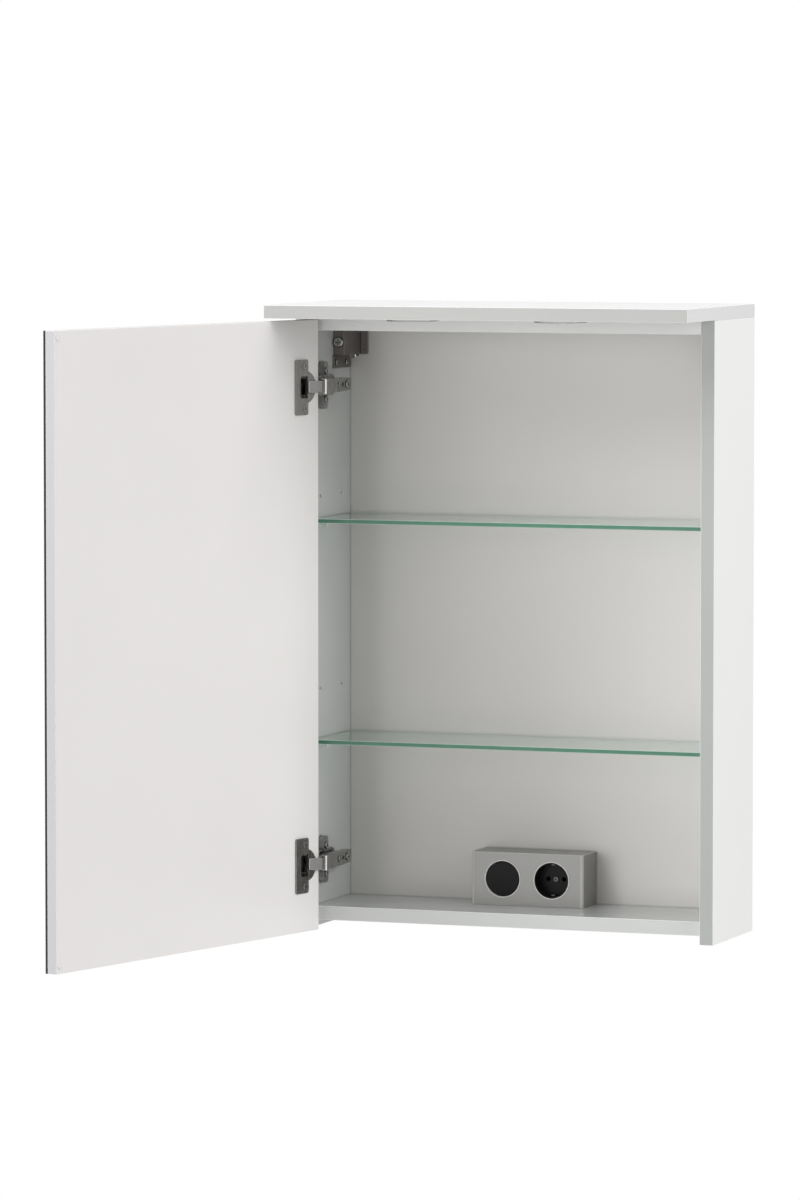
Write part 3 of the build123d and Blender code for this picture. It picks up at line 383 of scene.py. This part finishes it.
def add_strip(name, outline, low, high, body, slot, materials, width):
    """Raise an outline drawn in X and Y from one height to another, and round its edges."""
    form = bmesh.new()
    face = form.faces.new([form.verts.new((x, y, low)) for x, y in outline])
    raised = bmesh.ops.extrude_face_region(form, geom=[face])["geom"]
    tops = [v for v in raised if isinstance(v, bmesh.types.BMVert)]
    bmesh.ops.translate(form, verts=tops, vec=(0, 0, high - low))
    bmesh.ops.recalc_face_normals(form, faces=form.faces)
    bevel(form, sharp_edges(form), width, slot=len(materials) - 1)
    return finish_piece(form, name, body, slot, materials)


def add_pillar(name, centre, radius, height, body, slot, materials, width):
    """Stand a round bar upright at a point, and round its two rims."""
    form = bmesh.new()
    bmesh.ops.create_cone(
        form, cap_ends=True, segments=32, radius1=radius, radius2=radius, depth=height,
        matrix=Matrix.Translation(centre),
    )
    bevel(form, sharp_edges(form), width, slot=len(materials) - 1)
    return finish_piece(form, name, body, slot, materials)


def middle(name):
    """Give the centre of a CAD node's box."""
    return sum((Vector(corner) for corner in nodes[name].bound_box), Vector()) / 8


class CABINET_OT_camera(bpy.types.Operator):
    """Set the camera where the photograph was taken from, right of the cabinet and slightly above it"""

    bl_idname = "cabinet.camera"
    bl_label = "Camera"

    def execute(self, context):
        lens = bpy.data.cameras.new("camera")
        lens.sensor_width = 36
        lens.lens = 202.67
        lens.clip_end = 60
        camera = bpy.data.objects.new("camera", lens)
        camera.location = (2.50833, -7.33062, 0.29224)
        camera.rotation_euler = (math.radians(85.938), 0, math.radians(20.127))
        context.scene.collection.objects.link(camera)
        context.scene.camera = camera
        return {"FINISHED"}


def make_world(fill):
    """Light from all round, with plain white wherever the camera, metal or glass sees past the cabinet."""
    world = bpy.data.worlds.new("studio")
    world.use_nodes = True
    tree = world.node_tree
    tree.nodes.clear()
    path = add_node(tree, "ShaderNodeLightPath")
    seen = path.outputs["Is Camera Ray"]
    for ray in ("Is Glossy Ray", "Is Transmission Ray"):
        seen = add_node(
            tree, "ShaderNodeMath", {0: seen, 1: path.outputs[ray]}, operation="MAXIMUM"
        ).outputs[0]
    light = add_node(tree, "ShaderNodeBackground", {"Color": (1, 1, 1, 1), "Strength": fill})
    white = add_node(tree, "ShaderNodeBackground", {"Color": (1, 1, 1, 1), "Strength": 1})
    both = add_node(
        tree, "ShaderNodeMixShader",
        {0: seen, 1: light.outputs["Background"], 2: white.outputs["Background"]},
    )
    add_node(tree, "ShaderNodeOutputWorld", {"Surface": both.outputs["Shader"]})
    return world


def add_lamp(name, place, power):
    """Hang a soft square lamp that faces the cabinet."""
    light = bpy.data.lights.new(name, "AREA")
    light.shape = "SQUARE"
    light.size = LAMP_SIZE
    light.energy = power
    lamp = bpy.data.objects.new(name, light)
    lamp.location = place
    lamp.rotation_euler = (Vector(place) - LAMP_AIM).to_track_quat("Z", "Y").to_euler()
    lamp.visible_camera = False
    lamp.visible_glossy = False
    lamp.visible_transmission = False
    bpy.context.scene.collection.objects.link(lamp)


class CABINET_OT_stage(bpy.types.Operator):
    """Lay the pale floor and set the soft studio light"""

    bl_idname = "cabinet.stage"
    bl_label = "Stage"

    def execute(self, context):
        settings = context.scene.cabinet_stage
        form = bmesh.new()
        down = cad_box[0].z - settings.floor_depth
        bmesh.ops.create_circle(
            form, cap_ends=True, segments=96, radius=settings.floor_radius,
            matrix=Matrix.Translation((0, 0, down)),
        )
        mesh = bpy.data.meshes.new("floor")
        form.to_mesh(mesh)
        form.free()
        floor = bpy.data.objects.new("floor", mesh)
        context.scene.collection.objects.link(floor)
        # Matt painted floor: even and pale, fading out towards its rim
        material, tree = new_material("matt_painted_floor")
        place = add_node(tree, "ShaderNodeTexCoord").outputs["Object"]
        out = add_node(
            tree, "ShaderNodeVectorMath", {0: place, 1: (1, 1, 0)}, operation="MULTIPLY"
        ).outputs["Vector"]
        reach = add_node(tree, "ShaderNodeVectorMath", {0: out}, operation="LENGTH").outputs["Value"]
        fade = add_node(
            tree, "ShaderNodeMapRange",
            {
                "Value": reach, "From Min": settings.floor_radius * 0.35,
                "From Max": settings.floor_radius * 0.98, "To Min": 0, "To Max": 1,
            },
            interpolation_type="SMOOTHSTEP",
        )
        speck = add_node(tree, "ShaderNodeTexNoise", {"Vector": place, "Scale": 1000 / 40, "Detail": 4})
        tones = add_node(
            tree, "ShaderNodeValToRGB", {"Fac": speck.outputs["Fac"]},
            [shaded(settings.floor, 0.98), shaded(settings.floor, 1.02)],
        )
        paint = add_node(
            tree, "ShaderNodeBsdfPrincipled", {"Base Color": tones.outputs["Color"], "Roughness": 0.8}
        )
        clear = add_node(tree, "ShaderNodeBsdfTransparent")
        both = add_node(
            tree, "ShaderNodeMixShader",
            {0: fade.outputs["Result"], 1: paint.outputs["BSDF"], 2: clear.outputs["BSDF"]},
        )
        add_node(tree, "ShaderNodeOutputMaterial", {"Surface": both.outputs["Shader"]})
        mesh.materials.append(material)
        context.scene.world = make_world(settings.fill)
        for name, where, power in (
            ("key_lamp", (-2.55, -2.56, 2.49), 128),
            ("front_lamp", (-1.69, -4.27, -0.28), 52),
            ("side_lamp", (3.9, -0.8, 1.3), 104),
            ("top_lamp", (0, -0.3, 3.4), 17),
        ):
            add_lamp(name, where, power)
        context.scene.view_settings.view_transform = "Standard"
        return {"FINISHED"}


class CABINET_OT_boards(bpy.types.Operator):
    """Cover the boards with foil, and finish the back and what joins the boards"""

    bl_idname = "cabinet.boards"
    bl_label = "Boards"

    def execute(self, context):
        settings = context.scene.cabinet_boards
        # White foil pressed on particle board: satin, with the faint waviness of the chips below.
        # Front edges are banded with ABS, and the top panel's is foil too. The grey of the front edges is
        # painted shade, as are the darker foils of the left side, the bottom and the cornice; the lighter
        # rounded edges are a painted highlight, and inner corners get painted shade
        foil, edging = settings.foil, settings.edging
        for board, name, tone, front in (
            ("top_panel", "white_foil", foil, foil),
            ("side_panel_right", "white_foil_with_edging_in_painted_shade", foil, edging),
            ("side_panel_left", "left_foil_and_edging_in_painted_shade", settings.foil_in_painted_shade, edging),
            ("cornice", "cornice_foil_and_edging_in_painted_shade", settings.cornice_foil_in_painted_shade, settings.cornice_edging_in_painted_shade),
            ("bottom_panel", "bottom_foil_and_edging_in_painted_shade", settings.foil_in_painted_shade, settings.bottom_edging_in_painted_shade),
        ):
            surface = make_surface(
                name, tone, 0.012, 90, (0.12, 0.18), 1.2, 0.004, front_tone=front,
                arris_highlight=settings.arris, crevice=2.5, painted_shade_share=0.6,
            )
            dress(surface, board)
        # Hardboard with a sprayed white lacquer: fine, dull and slightly warm, and darkened as painted
        # shade where it meets the boards
        lacquer = make_surface(
            "lacquered_hardboard", settings.back, 0.02, 140, (0.42, 0.5), 0.9, 0.006, crevice=2.5, painted_shade_share=0.6
        )
        dress(lacquer, "back_panel")
        # Fluted beech: pale brown with grain along the dowel
        beech = make_surface(
            "fluted_beech", linear("#C9A477"), 0.16, 14, (0.55, 0.65), 0.5, 0.03, stretch=(0.15, 1, 1)
        )
        dress(beech, "carcass_dowels")
        # Zinc die casting, tumbled: dull grey with a fine grit
        casting = make_surface(
            "tumbled_zinc_casting", linear("#9B9A98"), 0.08, 12, (0.42, 0.55), 0.4, 0.02, Metallic=1.0
        )
        dress(casting, "cam_locks")
        return {"FINISHED"}


class CABINET_OT_door(bpy.types.Operator):
    """Finish the door: its foil-covered core, the silvered glass on its front and the bumpers"""

    bl_idname = "cabinet.door"
    bl_label = "Door"

    def execute(self, context):
        boards = context.scene.cabinet_boards
        glass = context.scene.cabinet_glass
        # The door's foil is a shade warmer than the carcass
        foil = make_surface(
            "warm_white_foil", boards.door_foil, 0.012, 110, (0.3, 0.38), 1.2, 0.006,
            front_tone=boards.door_edging,
        )
        dress(foil, "door_core")
        # Silvered float glass: a near-perfect reflection with the slightest waviness
        silver = make_surface(
            "silvered_float_glass", glass.silver, 0.008, 200, (0.015, 0.03), 60, 0.002, Metallic=1.0
        )
        # Ground glass edge: grey green and matt
        ground = make_surface("ground_glass_edge", linear("#1F2423"), 0.1, 20, (0.35, 0.5), 0.3, 0.01)

        def pick(face):
            return int(face.calc_area() < MIRROR_FACE)

        rounded(
            "mirror_glass", "mirror_pane", "mirror", glass.mirror_arris, (silver, ground), 0.05, pick=pick,
            segments=1,
        )
        # Soft bumpers of milky polyurethane, moulded: glossy, and white where they lie on the foil
        bumper = make_surface("milky_polyurethane", linear("#F0EEEC"), 0.03, 5, (0.2, 0.3), 0.6, 0.004)
        dress(bumper, "door_bumpers")
        return {"FINISHED"}


class CABINET_OT_shelves(bpy.types.Operator):
    """Polish the two glass shelves and finish their pins"""

    bl_idname = "cabinet.shelves"
    bl_label = "Shelves"

    def execute(self, context):
        settings = context.scene.cabinet_glass
        # Clear float glass: seen through its face it is nearly colourless, and it throws hardly a shadow
        clear = make_surface(
            "clear_float_glass", linear("#DFF1E6"), 0.006, 160, (0.0, 0.02), 90, 0.001,
            clear=linear("#F5F8F7"), **{"Transmission Weight": 1.0, "IOR": 1.52},
        )
        # Along its length the same glass is deep green, so the polished edge glows green
        edge = make_surface("polished_glass_edge", settings.tint, 0.16, 24, (0.06, 0.14), 1.5, 0.01)
        # The ground arris between face and edge is frosted and pale, and so is the rear edge
        arris = make_surface("ground_glass_arris", linear("#CFE6DC"), 0.05, 10, (0.3, 0.4), 0.4, 0.01)

        def pick(face):
            steepness = abs(face.normal.z)
            if steepness > 0.95:
                return 0
            return 1 if steepness < 0.3 and face.normal.y < 0.5 else 2

        for node in ("shelf_upper", "shelf_lower"):
            rounded(
                node, node + "_pane", "shelf_glass", settings.shelf_arris, (clear, edge, arris), 0.02,
                pick=pick, segments=1,
            )
        # Clear polycarbonate pins: pale and glossy
        pins = make_surface("pale_polycarbonate", linear("#DCE6E1"), 0.04, 4, (0.12, 0.2), 0.5, 0.004)
        dress(pins, "shelf_pins")
        return {"FINISHED"}


class CABINET_OT_hinges(bpy.types.Operator):
    """Finish the two concealed hinges, and add each link's leaf and knuckle and the lip on the arm"""

    bl_idname = "cabinet.hinges"
    bl_label = "Hinges"

    def execute(self, context):
        settings = context.scene.cabinet_metal
        # Nickel-plated pressed steel: soft streaks along the strip it was pressed from, and painted shade
        # in its inner corners
        nickel = make_surface(
            "nickel_plated_steel", settings.nickel, 0.1, 9, (0.2, 0.34), 0.35, 0.01, stretch=(1, 1, 0.4),
            crevice=1.6, Metallic=1.0,
        )
        # The link and its leaf get a darker copy of the same nickel plating, painted shade
        nickel_in_painted_shade = make_surface(
            "nickel_plated_steel_in_painted_shade", shaded(settings.nickel, 0.72), 0.12, 9, (0.24, 0.38), 0.35, 0.01,
            stretch=(1, 1, 0.4), crevice=1.6, Metallic=1.0,
        )
        # Rounded edges and the knuckle get a near-white plating, a painted highlight
        edges = make_surface(
            "nickel_painted_highlight", settings.edge_highlight, 0.08, 3, (0.16, 0.26), 0.35, 0.006, Metallic=1.0
        )
        dress(nickel, "hinge_arm_pins", "hinge_cup_pins")
        cup_pivot = middle("hinge_cup_pins").xy
        arm_pivot = middle("hinge_arm_pins").xy
        along = (arm_pivot - cup_pivot).normalized()
        bulge = Vector((along.y, -along.x))
        # The link's leaf curls round the cup pin, and its other end is rolled to a knuckle
        leaf = [
            cup_pivot + (a * along + b * bulge) * MM
            for a, b in (
                (3.0, 6.5), (0.2, 5.3), (-1.8, 4.7), (-3.6, 3.6), (-3.7, 2.2), (-2.9, 0.6),
                (-2.2, 0.8), (-2.9, 2.2), (-2.8, 3.0), (-1.5, 3.8), (0.4, 4.4), (3.0, 5.4),
            )
        ]
        knuckle = arm_pivot + Vector((4.4, -4.0)) * MM
        # A small lip closes the gap between the knuckle and the arm
        lip = [
            arm_pivot + Vector(corner) * MM
            for corner in ((2.3, 2.4), (3.2, 2.4), (3.2, 8.6), (2.3, 8.6))
        ]
        for place in ("upper", "lower"):
            for part, corner in (("plate", (6.0, 8.0)), ("arm", None), ("link", None), ("cup", None)):
                node = f"hinge_{part}_{place}"
                metals = (nickel_in_painted_shade if part == "link" else nickel, edges)
                rounded(
                    node, node + "_metal", "nickel_steel", settings.press_edge, metals, 0.001, corner=corner
                )
            height = middle(f"hinge_link_{place}").z
            link, arm = (nodes[f"hinge_{part}_{place}"]["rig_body"] for part in ("link", "arm"))
            for part, outline, reach, body, metal in (
                ("leaf", leaf, 6.65 * MM, link, nickel_in_painted_shade), ("lip", lip, 7.0 * MM, arm, nickel),
            ):
                add_strip(
                    f"hinge_{part}_{place}_metal", outline, height - reach, height + reach, body,
                    "nickel_steel", (metal, edges), settings.press_edge,
                )
            # The knuckle is all in the near-white edge plating, a painted highlight
            add_pillar(
                f"hinge_knuckle_{place}_metal", (*knuckle, height), 1.7 * MM, 17 * MM, link, "nickel_steel",
                (edges,), settings.press_edge,
            )
        return {"FINISHED"}


class CABINET_OT_hangers(bpy.types.Operator):
    """Finish the two hangers with their hooks and wall plates"""

    bl_idname = "cabinet.hangers"
    bl_label = "Hangers"

    def execute(self, context):
        settings = context.scene.cabinet_metal
        # Dark zinc-plated pressed steel: cloudy, with a dull shine, and painted shade in its inner corners
        zinc = make_surface(
            "dark_zinc_plated_steel", settings.zinc, 0.14, 11, (0.26, 0.42), 0.4, 0.012, crevice=2,
            Metallic=1.0,
        )
        # Rounded edges get a near-white plating, a painted highlight
        edges = make_surface(
            "zinc_painted_highlight", settings.edge_highlight, 0.08, 3, (0.2, 0.3), 0.35, 0.006, Metallic=1.0
        )
        for part, corner in (("hanger_case", (1.5, 2.0)), ("hanger_hook", None), ("wall_plate", None)):
            for side in ("left", "right"):
                node = f"{part}_{side}"
                rounded(
                    node, node + "_metal", "zinc_steel", settings.press_edge, (zinc, edges), 0.001,
                    corner=corner,
                )
        return {"FINISHED"}


class CABINET_OT_screws(bpy.types.Operator):
    """Finish the screws, springs and clips of bright zinc-plated steel"""

    bl_idname = "cabinet.screws"
    bl_label = "Screws"

    def execute(self, context):
        settings = context.scene.cabinet_metal
        # Bright zinc-plated steel: shiny, with the faint grit of rolled threads, and painted shade in drive
        # recesses and inner corners
        bright = make_surface(
            "bright_zinc_plated_steel", settings.screw, 0.1, 4, (0.18, 0.3), 0.3, 0.01, crevice=2.2,
            Metallic=1.0,
        )
        dress(
            bright, "cam_bolts", "cornice_screws", "hinge_plate_screws", "hinge_arm_screws",
            "hinge_cup_screws", "hinge_cup_springs", "hanger_adjusters", "hanger_screws", "light_clips",
            "base_screws",
        )
        return {"FINISHED"}


class CABINET_OT_lights(bpy.types.Operator):
    """Finish the two recessed lights, their boards, driver and leads"""

    bl_idname = "cabinet.lights"
    bl_label = "Lights"

    def execute(self, context):
        settings = context.scene.cabinet_metal
        # Satin chromed aluminium: fine turning marks round the ring
        ring = make_surface(
            "satin_chromed_aluminium", settings.ring, 0.05, 8, (0.22, 0.3), 0.25, 0.006, Metallic=1.0
        )
        dress(ring, "light_bodies")
        # Opal acrylic: milky, smooth and slightly translucent
        opal = make_surface(
            "opal_acrylic", linear("#F1F0EC"), 0.01, 20, (0.22, 0.28), 0.8, 0.002,
            **{"Subsurface Weight": 0.25, "Subsurface Scale": 0.004},
        )
        dress(opal, "light_lenses")
        # Glass-fibre board with a white solder mask: faint weave under a satin coat
        board = make_surface(
            "white_masked_circuit_board", linear("#E4E6DF"), 0.05, 2, (0.3, 0.4), 0.9, 0.01
        )
        dress(board, "led_boards")
        # Moulded white polyamide: dull, with a spark-eroded texture
        polyamide = make_surface(
            "moulded_white_polyamide", linear("#E9E9E6"), 0.02, 40, (0.42, 0.5), 0.45, 0.02
        )
        dress(polyamide, "led_driver", "lead_clips", "terminal_block")
        # White PVC sheath: extruded, soft shine
        sheath = make_surface("white_pvc_sheath", linear("#E6E6E3"), 0.02, 30, (0.32, 0.4), 0.8, 0.01)
        dress(sheath, "light_leads", "mains_lead")
        return {"FINISHED"}


class CABINET_OT_box(bpy.types.Operator):
    """Finish the box with the switch and the socket"""

    bl_idname = "cabinet.box"
    bl_label = "Switch and socket box"

    def execute(self, context):
        settings = context.scene.cabinet_box
        # ABS with a silver-grey metallic paint: fine flakes under a satin coat. Faces other than the front
        # get a darker copy of the paint, painted shade, and rounded edges a lighter one, a painted
        # highlight
        paint = make_surface(
            "silver_painted_abs", settings.shell_sides, 0.03, 30, (0.34, 0.42), 0.35, 0.008,
            front_tone=settings.shell, arris_highlight=settings.shell_arris_highlight, Metallic=0.25,
        )
        dress(paint, "box_shell")
        # Pale grey moulded ABS: satin
        trim = make_surface("pale_grey_abs", settings.trim, 0.02, 12, (0.26, 0.34), 0.4, 0.005)
        dress(trim, "trim_rings")
        # Black moulded polycarbonate: satin, with a fine spark-eroded texture
        black = make_surface(
            "black_polycarbonate", settings.dark, 0.12, 8, (0.32, 0.42), 0.35, 0.01,
            **{"Specular IOR Level": 0.25},
        )
        dress(black, "box_base", "switch_frame", "switch_contacts", "switch_rocker", "socket_insert")
        # Black rubber: matt
        rubber = make_surface("black_rubber", linear("#232323"), 0.1, 6, (0.6, 0.7), 0.4, 0.02)
        dress(rubber, "grommets")
        # Drawn brass: warm and bright
        brass = make_surface(
            "drawn_brass", linear("#C9A24F"), 0.08, 5, (0.2, 0.32), 0.3, 0.008, Metallic=1.0
        )
        dress(brass, "socket_contacts")
        # Dark steel, its tone drifting a lot from place to place; inner corners and recesses get painted
        # shade
        steel = make_surface(
            "dark_steel", linear("#6E6C6A"), 0.3, 3, (0.25, 0.4), 0.3, 0.01, crevice=2.5, Metallic=1.0
        )
        dress(steel, "earth_clip", "socket_screw")
        return {"FINISHED"}


OPERATORS = (
    CABINET_OT_camera, CABINET_OT_stage, CABINET_OT_boards, CABINET_OT_door, CABINET_OT_shelves,
    CABINET_OT_hinges, CABINET_OT_hangers, CABINET_OT_screws, CABINET_OT_lights, CABINET_OT_box,
)


class CABINET_PT_panel(bpy.types.Panel):
    """List the cabinet's pieces and their settings"""

    bl_idname = "CABINET_PT_panel"
    bl_label = "Mirror cabinet"
    bl_space_type = "VIEW_3D"
    bl_region_type = "UI"
    bl_category = "Cabinet"

    def draw(self, context):
        for name, group in SETTINGS.items():
            block = self.layout.box()
            for setting in group.__annotations__:
                block.prop(getattr(context.scene, name), setting)
        for operator in OPERATORS:
            self.layout.operator(operator.bl_idname)


def register():
    """Add the settings, operators and panel to Blender."""
    for group in SETTINGS.values():
        bpy.utils.register_class(group)
    for name, group in SETTINGS.items():
        setattr(bpy.types.Scene, name, bpy.props.PointerProperty(type=group))
    for item in (*OPERATORS, CABINET_PT_panel):
        bpy.utils.register_class(item)


def unregister():
    """Take them out again."""
    for item in (CABINET_PT_panel, *reversed(OPERATORS)):
        bpy.utils.unregister_class(item)
    for name, group in SETTINGS.items():
        delattr(bpy.types.Scene, name)
        bpy.utils.unregister_class(group)


def main():
    """Build the scene in order."""
    register()
    for operator in OPERATORS:
        group, name = operator.bl_idname.split(".")
        getattr(getattr(bpy.ops, group), name)()


if __name__ == "__main__":
    main()
